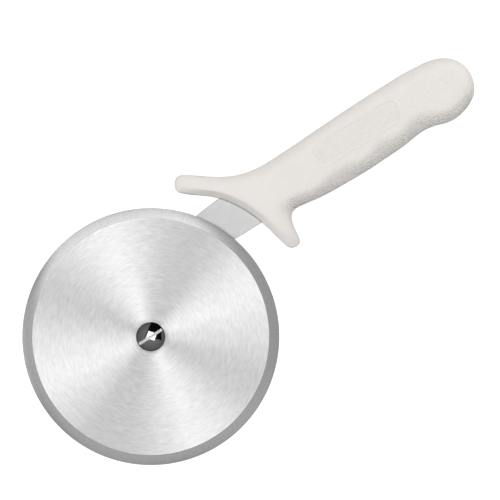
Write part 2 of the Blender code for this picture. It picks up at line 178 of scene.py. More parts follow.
# Ribs of the grip, from the guard to the butt: top edge, bottom edge, half thickness, and how
# far the shoulder stands in from the bottom edge, which is far where a finger lies
GRIP = (
    ((90.0, 42.7), (92.3, 15.2), 10.6, 5.6),
    ((99.5, 42.6), (99.5, 15.3), 10.8, 3.8),
    ((110.0, 42.8), (110.0, 13.8), 10.8, 3.2),
    ((124.5, 43.4), (124.5, 13.1), 10.8, 8.6),
    ((136.0, 43.8), (136.0, 12.9), 10.8, 2.2),
    ((146.5, 44.1), (146.5, 13.2), 10.8, 9.2),
    ((157.0, 44.2), (157.0, 13.7), 10.8, 2.8),
    ((166.5, 44.2), (166.5, 14.8), 10.8, 8.2),
    ((175.0, 44.1), (174.5, 13.9), 10.8, 4.4),
    ((183.0, 43.5), (182.0, 11.8), 10.8, 3.8),
    ((190.7, 42.3), (190.0, 12.4), 10.8, 3.8),
)
BUTT = ((198.6, 38.0), (202.7, 30.8), (202.4, 23.0), (198.0, 16.1))
BUTT_HALF_THICKNESS = 10.0
TOP_SHOULDER = 3.9
BUTT_SHOULDER = 4.6

# Where the cage's two inner rows lie between the grip's edges, and how often it is divided
INNER_ROWS = (0.2, 0.8)
HANDLE_LEVELS = 4

# The mouth that the arm enters by, in millimetres from the axle: its corners, a hair wider
# than the arm, and how much of it is air
MOUTH_CORNERS = ((60.0, 18.4), (60.0, 39.98), (84.0, 41.98), (84.0, 18.4))
MOUTH_GAP = 0.5 * MM

# Painted shade: a thin dark line painted on the steel where the plastic grips it, standing for
# the shadow in the gap there. It follows part of a circle
MOUTH_SHADE_CENTRE = AXLE + Vector((17.0, 0.3, 0)) * MM
MOUTH_SHADE_RADIUS = 62.25 * MM
MOUTH_SHADE_WIDTH = 0.8 * MM

# The line where the two halves of the mould met
PARTING_HALF_WIDTH = 0.25 * MM
PARTING_HEIGHT = 0.07 * MM

# The raised mark on the front of the grip, in millimetres: a long outline with round ends.
# It is raised on faces that look up by more than MARK_UPWARD.
MARK_CENTRE = (139.0, 31.2)
MARK_LENGTH = 50.0
MARK_WIDTH = 12.0
MARK_LINE_WIDTH = 1.3
MARK_PAD_SHARE = 0.3
MARK_MARGIN = 2.0
MARK_CUTS = 3
MARK_UPWARD = 0.5

# Where the pebbling begins behind the guard, in millimetres from the axle
PEBBLES_START = 84.0
PEBBLES_FULL = 97.0

# How high the pebbles stand, also inside the mark, and how much higher under the fingers
PLAIN_PEBBLES = 0.65
MARK_PEBBLES = 1.1
FINGER_PEBBLES = 3.9

# The lights that only the wheel takes, and the softbox that the other steel takes. Turns and
# azimuths are in degrees, as the picture shows them, and the rest is in metres.
WHEEL_SOFTBOX = {"size": (0.73, 0.8), "turn": 15.5, "shift": (-0.1325, 0.1755), "height": 1.35}
WHEEL_BANK = {"size": (1.95, 1.12), "turn": 22, "shift": (0.3, -0.015)}
WHEEL_STRIP = {"size": (1.32, 0.88), "height": 1.7}
WHEEL_STRIP_AZIMUTHS = (32, 109, 193, 298)
WHEEL_STRIP_DISTANCE = 1.55
SOFTBOX = {"size": (0.72, 0.59), "turn": -20, "shift": (0.033, 0.058), "height": 1.2}

# The lights that only the plastic and the floor take: name, azimuth and tilt as the picture
# shows them, in degrees, and brightness as a share of the key light's
HANDLE_LIGHTS = (
    ("key", 45, 25, 1.0),
    ("right_light", 0, 72, 1.0),
    ("back_light", 90, 72, 1.28),
    ("left_light", 180, 72, 0.82),
    ("front_light", 235, 72, 1.46),
)
HANDLE_LIGHT = {"size": (0.8, 0.8), "height": 1.75}

# The room that the steel sees. Heights are the upward part of a ray's direction: the light
# grows from one share of its setting to another between two of them, and the horizon glows
# below the last ones.
ROOM_HEIGHTS = (0.5, 1.0)
ROOM_SHARES = (0.6, 1.3)
DARK_CORNER_GLOW = 0.003
HORIZON_HEIGHTS = (0.45, 0.1)
HORIZON_GLOW = 0.3
FLOOR_REACH = 3


def linear(colour_hex):
    """Turn an sRGB hex colour into linear red, green, blue and alpha."""
    channels = [int(colour_hex[i : i + 2], 16) / 255 for i in (1, 3, 5)]
    straight = [c / 12.92 if c <= 0.04045 else ((c + 0.055) / 1.055) ** 2.4 for c in channels]
    return (*straight, 1.0)


def add_node(tree, kind, inputs=None, **settings):
    """Add a node with its settings, and give each of its inputs a value or a link."""
    node = tree.nodes.new(kind)
    for name, value in settings.items():
        setattr(node, name, value)
    for name, value in (inputs or {}).items():
        if isinstance(value, bpy.types.NodeSocket):
            tree.links.new(value, node.inputs[name])
        else:
            node.inputs[name].default_value = value
    return node


def new_material(name, values):
    """Make a material with some of its shader's values set, and give its tree and shader."""
    material = bpy.data.materials.new(name)
    material.use_nodes = True
    shader = material.node_tree.nodes["Principled BSDF"]
    for socket, value in values.items():
        shader.inputs[socket].default_value = value
    return material, material.node_tree, shader


def roughen(tree, shader, pattern, roughness, bump_height, normal=None):
    """Let one pattern, from 0 to 1, drive a shader's roughness and its bumps."""
    inputs = {"Value": pattern, "To Min": roughness[0], "To Max": roughness[1]}
    rough = add_node(tree, "ShaderNodeMapRange", inputs)
    bump = add_node(tree, "ShaderNodeBump", {"Height": pattern, "Distance": bump_height})
    if normal is not None:
        tree.links.new(normal, bump.inputs["Normal"])
    tree.links.new(rough.outputs["Result"], shader.inputs["Roughness"])
    tree.links.new(bump.outputs["Normal"], shader.inputs["Normal"])


def dress(tree, shader, pattern, colours, roughness, bump_height, normal=None):
    """Let one pattern, from 0 to 1, drive a shader's colour, its roughness and its bumps.

    Inputs 6 and 7 and output 2 of a mix node are the ones for colours.
    """
    inputs = {"Factor": pattern, 6: colours[0], 7: colours[1]}
    shade = add_node(tree, "ShaderNodeMix", inputs, data_type="RGBA")
    tree.links.new(shade.outputs[2], shader.inputs["Base Color"])
    roughen(tree, shader, pattern, roughness, bump_height, normal)


def stretched_noise(tree, place, cell, detail=2.0, contrast=2.0):
    """Noise from 0 to 1 whose cells have a real size along each axis of a place."""
    scale = [1 / side for side in cell]
    mapped = add_node(tree, "ShaderNodeMapping", {"Vector": place, "Scale": scale})
    noise = add_node(
        tree,
        "ShaderNodeTexNoise",
        {"Vector": mapped.outputs["Vector"], "Scale": 1.0, "Detail": detail, "Roughness": 0.6},
    )
    half = 0.5 / contrast
    inputs = {"Value": noise.outputs["Fac"], "From Min": 0.5 - half, "From Max": 0.5 + half}
    return add_node(tree, "ShaderNodeMapRange", inputs).outputs["Result"]


def round_axle(tree, centre=AXLE):
    """Where a point lies round the axle: its offset in the plane, and its distance."""
    inputs = {0: add_node(tree, "ShaderNodeTexCoord").outputs["Object"], 1: centre}
    offset = add_node(tree, "ShaderNodeVectorMath", inputs, operation="SUBTRACT")
    inputs = {0: offset.outputs["Vector"], 1: (1, 1, 0)}
    flat = add_node(tree, "ShaderNodeVectorMath", inputs, operation="MULTIPLY")
    inputs = {0: flat.outputs["Vector"]}
    radius = add_node(tree, "ShaderNodeVectorMath", inputs, operation="LENGTH")
    return flat.outputs["Vector"], radius.outputs["Value"]


def combine(tree, flat, height):
    """Put a height on a place in the plane."""
    inputs = {0: height, 1: (0, 0, 1), 2: flat}
    place = add_node(tree, "ShaderNodeVectorMath", inputs, operation="MULTIPLY_ADD")
    return place.outputs["Vector"]


def lay_grooves(tree, shader, flat, across):
    """Turn the shader's long axis of blur to run out from the axle, or else round it."""
    if not across:
        inputs = {0: flat, 1: (0, 0, 1)}
        around = add_node(tree, "ShaderNodeVectorMath", inputs, operation="CROSS_PRODUCT")
        flat = around.outputs["Vector"]
    turned = add_node(
        tree,
        "ShaderNodeVectorTransform",
        {"Vector": flat},
        vector_type="VECTOR",
        convert_from="OBJECT",
        convert_to="WORLD",
    )
    inputs = {0: turned.outputs["Vector"]}
    unit = add_node(tree, "ShaderNodeVectorMath", inputs, operation="NORMALIZE")
    tree.links.new(unit.outputs["Vector"], shader.inputs["Tangent"])


def noisy_material(
    name, cell, colours, roughness, bump_height, detail=3.0, contrast=2.0, metallic=1.0
):
    """A material with one pattern of noise, steel unless it is told otherwise."""
    material, tree, shader = new_material(name, {"Metallic": metallic})
    place = add_node(tree, "ShaderNodeTexCoord").outputs["Object"]
    noise = stretched_noise(tree, place, cell, detail, contrast)
    shades = [linear(colour) for colour in colours]
    dress(tree, shader, noise, shades, roughness, bump_height)
    return material


def ring_brushed_steel(settings):
    """Stainless steel, brushed while it turned.

    The fine rings blur each light out from the axle, so the face carries four soft fans, and
    short bright and dull arcs lie in them.
    """
    values = {"Metallic": 1.0, "Anisotropic": 1.0}
    material, tree, shader = new_material("ring_brushed_stainless_steel", values)
    flat, radius = round_axle(tree)
    arcs = stretched_noise(
        tree,
        combine(tree, flat, radius),
        (settings.streak_length, settings.streak_length, settings.streak_width),
    )
    colours = (linear("#dcdcdc"), linear("#f0f0f0"))
    dress(tree, shader, arcs, colours, roughness=(0.42, 0.375), bump_height=0.0015 * MM)
    lay_grooves(tree, shader, flat, across=True)
    return material


def cross_ground_steel(settings):
    """Stainless steel, ground to an edge from the face outwards.

    The marks of the stone run out like rays, so the band is smoother and darker than the
    brushed face, and it catches the light on one side only.
    """
    values = {"Metallic": 1.0, "Anisotropic": 0.35}
    material, tree, shader = new_material("cross_ground_stainless_steel", values)
    flat, radius = round_axle(tree)
    ray = add_node(tree, "ShaderNodeVectorMath", {0: flat}, operation="NORMALIZE")
    inputs = {0: ray.outputs["Vector"], "Scale": WHEEL_RADIUS}
    rim = add_node(tree, "ShaderNodeVectorMath", inputs, operation="SCALE")
    place = combine(tree, rim.outputs["Vector"], radius)
    width = settings.grind_streak_width
    rays = stretched_noise(tree, place, (width, width, GRIND_STREAK_LENGTH), contrast=1.2)
    colours = (linear("#b3b3b3"), linear("#b9b9b9"))
    dress(tree, shader, rays, colours, roughness=(0.21, 0.16), bump_height=0.0003 * MM)
    lay_grooves(tree, shader, flat, across=False)
    return material


def rolled_sheet_steel():
    """Cold rolled stainless sheet.

    Even and satin, with faint marks along the rolling direction. A thin dark line of painted
    shade, standing for the shadow in the gap, lies where the steel enters the plastic.
    """
    material = noisy_material(
        "cold_rolled_stainless_sheet",
        cell=(6 * MM, 0.7 * MM, 0.7 * MM),
        colours=("#d2d2d2", "#dadada"),
        roughness=(0.48, 0.44),
        bump_height=0.002 * MM,
        detail=4.0,
    )
    tree = material.node_tree
    shader = tree.nodes["Principled BSDF"]
    _, reach = round_axle(tree, MOUTH_SHADE_CENTRE)
    inputs = {0: reach, 1: MOUTH_SHADE_RADIUS, 2: MOUTH_SHADE_WIDTH / 2}
    # Painted shade: the steel's colour is darkened in a thin band along the mouth's edge
    painted_shade_line = add_node(tree, "ShaderNodeMath", inputs, operation="COMPARE")
    steel = shader.inputs["Base Color"].links[0].from_socket
    inputs = {"Factor": painted_shade_line.outputs["Value"], 6: steel, 7: linear("#a8a8a8")}
    shaded_steel = add_node(tree, "ShaderNodeMix", inputs, data_type="RGBA")
    tree.links.new(shaded_steel.outputs[2], shader.inputs["Base Color"])
    return material


def spring_steel():
    """Drawn spring steel wire, tumbled: duller and greyer than the sheet, with tiny pits."""
    return noisy_material(
        "tumbled_spring_steel",
        cell=(0.3 * MM,) * 3,
        colours=("#a4a4a6", "#bebec0"),
        roughness=(0.45, 0.30),
        bump_height=0.01 * MM,
        detail=4.0,
        contrast=1.5,
    )


def polished_steel():
    """Turned and polished steel: a mirror, with the faintest rings left by the tool."""
    material, tree, shader = new_material("polished_stainless_steel", {"Metallic": 1.0})
    flat, radius = round_axle(tree)
    rings = stretched_noise(tree, combine(tree, flat, radius), (6 * MM, 6 * MM, 0.25 * MM))
    colours = (linear("#d4d4d6"), linear("#e0e0e2"))
    dress(tree, shader, rings, colours, roughness=(0.10, 0.06), bump_height=0.0004 * MM)
    return material


def milled_steel():
    """Milled steel in the screwdriver slot, dull, with the cutter's marks across it."""
    return noisy_material(
        "milled_stainless_steel",
        cell=(0.35 * MM, 2 * MM, 2 * MM),
        colours=("#ececec", "#fafafa"),
        roughness=(0.58, 0.46),
        bump_height=0.004 * MM,
        contrast=1.6,
    )


def moulded_acetal():
    """Black moulded acetal: dense and waxy, with a slightly uneven shine."""
    return noisy_material(
        "moulded_black_acetal",
        cell=(0.8 * MM,) * 3,
        colours=("#161616", "#222222"),
        roughness=(0.50, 0.38),
        bump_height=0.01 * MM,
        metallic=0.0,
    )


def pebbled_polypropylene(settings):
    """White moulded polypropylene, a little warm and soft.

    The guard came smooth out of the mould. The grip is pebbled, which hardly shows where it
    faces the light and makes fine dark dots where the surface turns away.
    """
    values = {
        "Subsurface Weight": settings.softness,
        "Subsurface Radius": (1.0, 0.75, 0.55),
        "Subsurface Scale": 1.5 * MM,
    }
    material, tree, shader = new_material("pebbled_white_polypropylene", values)
    place = add_node(tree, "ShaderNodeTexCoord").outputs["Object"]
    pebbles = add_node(
        tree,
        "ShaderNodeTexVoronoi",
        {"Vector": place, "Scale": 1 / settings.pebble_size, "Randomness": 0.8},
        feature="F1",
    )
    pebbled = add_node(tree, "ShaderNodeAttribute", attribute_name="pebbles")
    inputs = {0: pebbles.outputs["Distance"], 1: pebbled.outputs["Fac"]}
    height = add_node(tree, "ShaderNodeMath", inputs, operation="MULTIPLY")
    inputs = {"Height": height.outputs["Value"], "Distance": settings.pebble_height}
    grain = add_node(tree, "ShaderNodeBump", inputs, invert=True).outputs["Normal"]
    mottle = stretched_noise(tree, place, (7 * MM,) * 3, detail=3.0, contrast=1.6)
    lighter = tuple(min(1.0, c * k) for c, k in zip(settings.colour, (1.02, 1.02, 1.03)))
    colours = ((*settings.colour, 1.0), (*lighter, 1.0))
    dress(tree, shader, mottle, colours, (0.48, 0.58), bump_height=0.01 * MM, normal=grain)
    return material


def opal_acrylic(settings):
    """A matt opal acrylic light table, lit from below, so that no shadow shows on it."""
    values = {
        "Base Color": (*settings.floor_colour, 1.0),
        "Specular IOR Level": 0.1,
        "Emission Color": (1, 1, 1, 1),
        "Emission Strength": settings.floor_glow,
    }
    material, tree, shader = new_material("matt_opal_acrylic", values)
    place = add_node(tree, "ShaderNodeTexCoord").outputs["Object"]
    tooth = stretched_noise(tree, place, (2 * MM,) * 3)
    roughen(tree, shader, tooth, roughness=(0.95, 0.9), bump_height=0.005 * MM)
    return material


def new_object(name, data):
    """Make an object and link it to the scene."""
    obj = bpy.data.objects.new(name, data)
    bpy.context.scene.collection.objects.link(obj)
    return obj


def finished_piece(name, mesh, body, node, corner):
    """Show a mesh as a piece that rides on a body and stands for a CAD node.

    It is shaded smooth, but for its corners: edges sharper than an angle in degrees.
    """
    mesh.shade_smooth()
    mesh.set_sharp_from_angle(angle=math.radians(corner))
    piece = new_object(name, mesh)
    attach(piece, body)
    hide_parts(node)


def mesh_from(work, name, *materials):
    """Turn a bmesh into a mesh with its materials, and free it."""
    mesh = bpy.data.meshes.new(name)
    work.to_mesh(mesh)
    work.free()
    for material in materials:
        mesh.materials.append(material)
    return mesh


def bevel(work, geom, offset, segments=2, affect="EDGES", clamp_overlap=False):
    """Round edges or corners."""
    bmesh.ops.bevel(
        work,
        geom=geom,
        offset=offset,
        segments=segments,
        profile=0.5,
        affect=affect,
        material=-1,
        clamp_overlap=clamp_overlap,
    )


def evaluated(obj, name):
    """The mesh of an object after its modifiers, with the object then removed."""
    bpy.context.view_layer.update()
    graph = bpy.context.evaluated_depsgraph_get()
    mesh = bpy.data.meshes.new_from_object(obj.evaluated_get(graph))
    mesh.name = name
    bpy.data.objects.remove(obj)
    return mesh


def combined(mesh, name, *steps):
    """Cut, join or limit a mesh by others, in turn. Faces keep the material they came with."""
    target = new_object("target", mesh)
    helpers = []
    for operation, tool in steps:
        helper = new_object("helper", tool)
        cut = target.modifiers.new(operation.lower(), "BOOLEAN")
        cut.operation = operation
        cut.object = helper
        cut.material_mode = "TRANSFER"
        helpers.append(helper)
    result = evaluated(target, name)
    for helper in helpers:
        bpy.data.objects.remove(helper)
    return result


def turned(profile, steps):
    """Turn a profile of (radius, height) points once about the axle."""
    work = bmesh.new()
    verts = [work.verts.new((AXLE.x + radius, AXLE.y, height)) for radius, height in profile]
    edges = [work.edges.new(pair) for pair in zip(verts, verts[1:])]
    bmesh.ops.spin(
        work,
        geom=verts + edges,
        axis=(0, 0, 1),
        cent=AXLE,
        angle=2 * math.pi,
        steps=steps,
        use_merge=True,
    )
    bmesh.ops.remove_doubles(work, verts=work.verts, dist=TINY)
    bmesh.ops.recalc_face_normals(work, faces=work.faces)
    return work


def ring_profile(upper, middle):
    """The closed section of a ring whose lower half mirrors its upper half."""
    lower = [(radius, -height) for radius, height in reversed(upper)]
    section = [(radius, middle + height) for radius, height in upper + lower]
    return [*section, section[0]]


def sphere_radius(radius, rise):
    """Radius of the sphere whose cap has a rim of this radius and rises this much."""
    return (radius**2 + rise**2) / (2 * rise)


def dome_profile(radius, rise, top, steps):
    """Points of a round crown from its top down to its rim, both included."""
    sphere = sphere_radius(radius, rise)
    angles = np.linspace(0, math.asin(radius / sphere), steps + 1)
    return [(sphere * math.sin(a), top - sphere * (1 - math.cos(a))) for a in angles]


def wheel_profile():
    """The wheel's section: its bore, its flat faces and its ground edge, a little full."""
    edge_half = EDGE_THICKNESS / 2
    ground = []
    for share in np.linspace(0, 1, GRIND_ROWS + 1):
        flat = WHEEL_HALF + (edge_half - WHEEL_HALF) * share
        swell = 4 * GRIND_SWELL * share * (1 - share)
        ground.append((WHEEL_RADIUS - GRIND_WIDTH * (1 - share), flat + swell))
    upper = [
        (WHEEL_BORE, WHEEL_HALF - BORE_CHAMFER),
        (WHEEL_BORE + BORE_CHAMFER, WHEEL_HALF),
        (WHEEL_RADIUS - GRIND_WIDTH - GRIND_BREAK, WHEEL_HALF),
        *ground[:-1],
        (WHEEL_RADIUS - GRIND_BREAK, edge_half),
        (WHEEL_RADIUS, edge_half / 2),
    ]
    return ring_profile(upper, (WHEEL_LOW.z + WHEEL_HIGH.z) / 2)


def washer_profile(low, high, outer):
    """A flat washer's section, with its corners broken."""
    half = (high - low) / 2
    corner = WASHER_EDGE * ROUND_SHARE
    upper = [
        (WASHER_BORE, half - WASHER_EDGE / 2),
        (WASHER_BORE + WASHER_EDGE / 2, half),
        (outer - WASHER_EDGE, half),
        (outer - corner, half - corner),
        (outer, half - WASHER_EDGE),
    ]
    return ring_profile(upper, (low + high) / 2)


def bolt_profile():
    """The bolt's section: dome, rim, underside of the head, shoulder, shank and end."""
    head_base = BOLT_HIGH.z - HEAD_RISE - HEAD_RIM
    shoulder_end = ARM_HIGH.z + SEAT_GAP / 2
    return dome_profile(HEAD_RADIUS, HEAD_RISE, BOLT_HIGH.z, HEAD_DOME_STEPS) + [
        (HEAD_RADIUS, head_base + HEAD_EDGE_ROUND),
        (HEAD_RADIUS - HEAD_EDGE_ROUND, head_base),
        (SHOULDER_RADIUS, head_base),
        (SHOULDER_RADIUS, shoulder_end),
        (SHANK_RADIUS, shoulder_end),
        (SHANK_RADIUS, BOLT_LOW.z + SHANK_CHAMFER),
        (SHANK_RADIUS - SHANK_CHAMFER, BOLT_LOW.z),
        (0, BOLT_LOW.z),
    ]


def slot_cutter(material):
    """The milling cutter's path through the head, with a flat floor."""
    sphere = sphere_radius(HEAD_RADIUS, HEAD_RISE)
    floor = BOLT_HIGH.z - sphere + math.sqrt(sphere**2 - SLOT_REACH**2)
    size = Matrix.Diagonal((SLOT_CUTTER_LENGTH, SLOT_WIDTH, SLOT_CUTTER_HEIGHT, 1))
    place = Matrix.Translation((AXLE.x, AXLE.y, floor + SLOT_CUTTER_HEIGHT / 2))
    turn = Matrix.Rotation(SLOT_ANGLE, 4, "Z")
    work = bmesh.new()
    bmesh.ops.create_cube(work, size=1, matrix=place @ turn @ size)
    return mesh_from(work, "slot_cutter", material)


def break_slot_edges(mesh):
    """Bevel the edges where the slot meets the dome."""
    work = bmesh.new()
    work.from_mesh(mesh)
    lips = [
        edge
        for edge in work.edges
        if len({face.material_index for face in edge.link_faces}) == 2
    ]
    bevel(work, lips, SLOT_EDGE, clamp_overlap=True)
    work.to_mesh(mesh)
    work.free()


def nut_blank(material):
    """The hexagonal bar that the nut is turned from."""
    work = bmesh.new()
    bmesh.ops.create_cone(
        work,
        cap_ends=True,
        segments=6,
        radius1=NUT_CORNER_RADIUS,
        radius2=NUT_CORNER_RADIUS,
        depth=NUT_HEX_HEIGHT,
        matrix=Matrix.Translation((AXLE.x, AXLE.y, NUT_HIGH.z - NUT_HEX_HEIGHT / 2)),
    )
    return mesh_from(work, "nut_blank", material)


def nut_turnings(material):
    """The turned shapes that trim the nut's corners, crown it and bore it."""
    corner = NUT_CORNER_RADIUS + HAIR
    drop = (corner - NUT_FACE_RADIUS) * math.tan(NUT_CHAMFER_ANGLE)
    top = NUT_HIGH.z
    base = top - NUT_HEX_HEIGHT
    overlap = 1 * MM
    corners = [
        (0, top + TINY),
        (NUT_FACE_RADIUS, top + TINY),
        (corner, top - drop),
        (corner, base + drop),
        (NUT_FACE_RADIUS, base - TINY),
        (0, base - TINY),
    ]
    rise = base - NUT_CROWN_NECK - NUT_LOW.z
    dome = dome_profile(NUT_CROWN_RADIUS, rise, 0, NUT_DOME_STEPS)
    crown = [(0, base + overlap), (NUT_CROWN_RADIUS, base + overlap)]
    crown += [(radius, NUT_LOW.z - height) for radius, height in reversed(dome)]
    bore = [
        (0, top + overlap),
        (NUT_BORE_RADIUS, top + overlap),
        (NUT_BORE_RADIUS, top - NUT_BORE_DEPTH),
        (0, top - NUT_BORE_DEPTH),
    ]
    shapes = (("INTERSECT", corners), ("UNION", crown), ("DIFFERENCE", bore))
    return [
        (operation, mesh_from(turned(profile, HARDWARE_STEPS), "nut_turning", material))
        for operation, profile in shapes
    ]


def spring_coil():
    """A square wire with rounded corners, wound almost once round the shank."""
    rise = SPRING_HIGH.z - SPRING_LOW.z - SPRING_WIRE_HEIGHT
    work = bmesh.new()
    size = Matrix.Diagonal((SPRING_WIRE_WIDTH, SPRING_WIRE_HEIGHT, 1, 1))
    radius = SPRING_INNER + SPRING_WIRE_WIDTH / 2
    height = SPRING_LOW.z + SPRING_WIRE_HEIGHT / 2
    place = Matrix.Translation((AXLE.x + radius, AXLE.y, height))
    section = place @ Matrix.Rotation(math.pi / 2, 4, "X") @ size
    bmesh.ops.create_grid(work, x_segments=1, y_segments=1, size=0.5, matrix=section)
    bevel(work, work.verts[:], SPRING_WIRE_CORNER, segments=3, affect="VERTICES")
    bmesh.ops.spin(
        work,
        geom=[*work.faces, *work.edges, *work.verts],
        axis=(0, 0, 1),
        cent=AXLE,
        dvec=(0, 0, rise / HARDWARE_STEPS),
        angle=SPRING_TURN,
        steps=HARDWARE_STEPS,
    )
    bmesh.ops.recalc_face_normals(work, faces=work.faces)
    return work


def spline_controls(points):
    """Control points of the closed cubic B-spline that runs through the given points."""
    count = len(points)
    weights = np.eye(count) * 4
    for i in range(count):
        weights[i, i - 1] += 1
        weights[i, (i + 1) % count] += 1
    return np.linalg.solve(weights / 6, np.array(points))


def handle_stretches():
    """The handle's edge in named stretches, in turn: place, half thickness and shoulder."""
    steep = FRONT_SHOULDER_SHARE
    upper_front, lower_front = (
        [(front, depth, steep * inset) for front, _, depth, inset in guard]
        for guard in (UPPER_GUARD, LOWER_GUARD)
    )
    upper_back, lower_back = (
        [(back, depth, inset) for _, back, depth, inset in reversed(guard)]
        for guard in (UPPER_GUARD, LOWER_GUARD)
    )
    return {
        "upper_front": upper_front,
        "throat": [(point, THROAT_HALF_THICKNESS, THROAT_SHOULDER) for point in GUARD_THROAT],
        "lower_front": lower_front,
        "lower_back": lower_back,
        "bottom": [(bottom, depth, inset) for _, bottom, depth, inset in GRIP],
        "butt": [(point, BUTT_HALF_THICKNESS, BUTT_SHOULDER) for point in reversed(BUTT)],
        "top": [(top, depth, TOP_SHOULDER) for top, _, depth, _ in reversed(GRIP)],
        "upper_back": upper_back,
    }


def rib_edges(cage, rib):
    """Join the points of a rib, one after the other."""
    return [cage.edges.new(pair) for pair in zip(rib, rib[1:])]


def rim_shares(count):
    """How far out each rim point stands for the smooth outline to pass where it should.

    Each is a share of the shoulder there: a half where the rim is soft, and less where it is
    creased, because the outline then follows it more closely.
    """
    sharpness = 10 * np.square(FRONT_RIM_CREASES)
    shares = np.full((count, 1), 0.5)
    for point, (before, after) in enumerate(zip(sharpness, sharpness[1:]), start=1):
        level = (before + after) / 2 if min(before, after) else 0
        shares[point] = 1 / (3 * 2**level - 1)
    return shares


def handle_cage():
    """The coarse cage of the handle's front half, open at the middle plane.

    Its front is lofted over the guard's and the grip's ribs, and its wall is drawn out of
    that front's edge, down to the middle plane.
    """
    stretches = handle_stretches()
    edge = [item for stretch in stretches.values() for item in stretch]
    controls = spline_controls([place for place, _, _ in edge])
    along = np.roll(controls, -1, axis=0) - np.roll(controls, 1, axis=0)
    outward = np.stack([along[:, 1], -along[:, 0]], axis=1)
    outward /= np.linalg.norm(outward, axis=1)[:, None]
    inset = np.array([inset for _, _, inset in edge])[:, None]
    depth = np.array([depth for _, depth, _ in edge])[:, None]
    shoulders = np.hstack([controls - outward * inset, depth]) * MM
    rims = np.hstack([controls + outward * inset * rim_shares(len(edge)), 0 * depth]) * MM

    cage = bmesh.new()
    crown = [cage.verts.new(place) for place in shoulders]
    rim_places = dict(zip(crown, rims))
    crease = cage.edges.layers.float.new("crease_edge")
    in_turn = iter(crown)
    rows = {name: [next(in_turn) for _ in stretch] for name, stretch in stretches.items()}
    ribs = []
    for top, bottom in zip(reversed(rows["top"]), rows["bottom"]):
        inner = [cage.verts.new(top.co.lerp(bottom.co, share)) for share in INNER_ROWS]
        ribs.append([top, *inner, bottom])
    ribs.append(rows["butt"][::-1])
    front = rows["upper_front"] + rows["throat"] + rows["lower_front"]
    back = rows["upper_back"][::-1] + ribs[0] + rows["lower_back"][::-1]

    guard = [rib_edges(cage, front), rib_edges(cage, back)]
    for edge, crispness in zip(guard[0], GUARD_CREASES, strict=True):
        edge[crease] = crispness
    first_rib = guard[1][len(rows["upper_back"]) : -len(rows["lower_back"])]
    grip = [first_rib, *(rib_edges(cage, rib) for rib in ribs[1:])]
    for before, after in [guard, *zip(grip, grip[1:])]:
        bmesh.ops.bridge_loops(cage, edges=before + after)

    border = [line for line in cage.edges if line.is_boundary]
    wall = bmesh.ops.extrude_edge_only(cage, edges=border)["geom"]
    rim_under = {}
    for part in wall:
        if isinstance(part, bmesh.types.BMVert):
            neighbours = (line.other_vert(part) for line in part.link_edges)
            above = next(other for other in neighbours if other in rim_places)
            part.co = rim_places[above]
            rim_under[above] = part
        elif isinstance(part, bmesh.types.BMEdge):
            part[crease] = 0
    front_rim = [rim_under[vert] for vert in front]
    for *ends, crispness in zip(front_rim, front_rim[1:], FRONT_RIM_CREASES):
        cage.edges.get(ends)[crease] = crispness
    bmesh.ops.recalc_face_normals(cage, faces=cage.faces)
    return mesh_from(cage, "handle_cage")


def smooth_handle():
    """The whole handle as one smooth skin, about the axle and the middle plane."""
    cage = new_object("cage", handle_cage())
    mirror = cage.modifiers.new("back_half", "MIRROR")
    mirror.use_axis = (False, False, True)
    mirror.merge_threshold = HAIR
    surface = cage.modifiers.new("surface", "SUBSURF")
    surface.levels = HANDLE_LEVELS
    surface.render_levels = HANDLE_LEVELS
    return evaluated(cage, "smooth_handle")


def raise_parting_line(work):
    """Raise a fine flash along the middle plane, where the halves of the mould met."""
    work.normal_update()
    seam = [edge for edge in work.edges if all(abs(vert.co.z) < TINY for vert in edge.verts)]
    bevel(work, seam, PARTING_HALF_WIDTH)
    work.normal_update()
    for vert in work.verts:
        if abs(vert.co.z) < TINY:
            vert.co += vert.normal * PARTING_HEIGHT


def outside_mark(x, y):
    """How far a point is outside the mark's outline, in millimetres."""
    straight = (MARK_LENGTH - MARK_WIDTH) / 2
    along = max(abs(x - MARK_CENTRE[0]) - straight, 0)
    return math.hypot(along, y - MARK_CENTRE[1]) - MARK_WIDTH / 2


def eased(value, start, end):
    """Go smoothly from 0 to 1 as a value goes from one bound to the other."""
    share = min(max((value - start) / (end - start), 0), 1)
    return share * share * (3 - 2 * share)


def mark_height(x, y):
    """Height of the mark at a point, from 0 to 1: a rounded line round a low pad."""
    outside = outside_mark(x, y)
    half = MARK_LINE_WIDTH / 2
    line = 1 - eased(abs(outside), 0, half)
    pad = MARK_PAD_SHARE * eased(-outside, half, MARK_MARGIN)
    return max(line, pad)


def raise_mark(work, relief):
    """Refine the front of the grip round the mark, and raise the mark on it."""
    reach = (MARK_LENGTH / 2 + MARK_MARGIN, MARK_WIDTH / 2 + MARK_MARGIN)
    edges = set()
    for face in work.faces:
        centre = face.calc_center_median() / MM
        offset = (abs(centre.x - MARK_CENTRE[0]), abs(centre.y - MARK_CENTRE[1]))
        near = offset[0] < reach[0] and offset[1] < reach[1]
        if near and face.normal.z > MARK_UPWARD:
            edges.update(face.edges)
    bmesh.ops.subdivide_edges(work, edges=list(edges), cuts=MARK_CUTS, use_grid_fill=True)
    front = HANDLE_TOP - MID_Z
    lowered = (front - relief) / front
    for vert in work.verts:
        if vert.co.z > 0:
            vert.co.z *= lowered
        if vert.co.z > front / 2:
            vert.co.z += relief * mark_height(vert.co.x / MM, vert.co.y / MM)


def mark_pebbles(work):
    """Note on each point how much of the mould's pebbling it has."""
    work.normal_update()
    layer = work.verts.layers.float.new("pebbles")
    for vert in work.verts:
        x, y = vert.co.x / MM, vert.co.y / MM
        share = PLAIN_PEBBLES + FINGER_PEBBLES * max(0, -vert.normal.y) ** 2
        if vert.co.z > 0:
            outside = outside_mark(x, y)
            if outside < 0:
                share = MARK_PEBBLES
            share *= eased(abs(outside), 0, MARK_LINE_WIDTH)
        vert[layer] = share * eased(x, PEBBLES_START, PEBBLES_FULL)


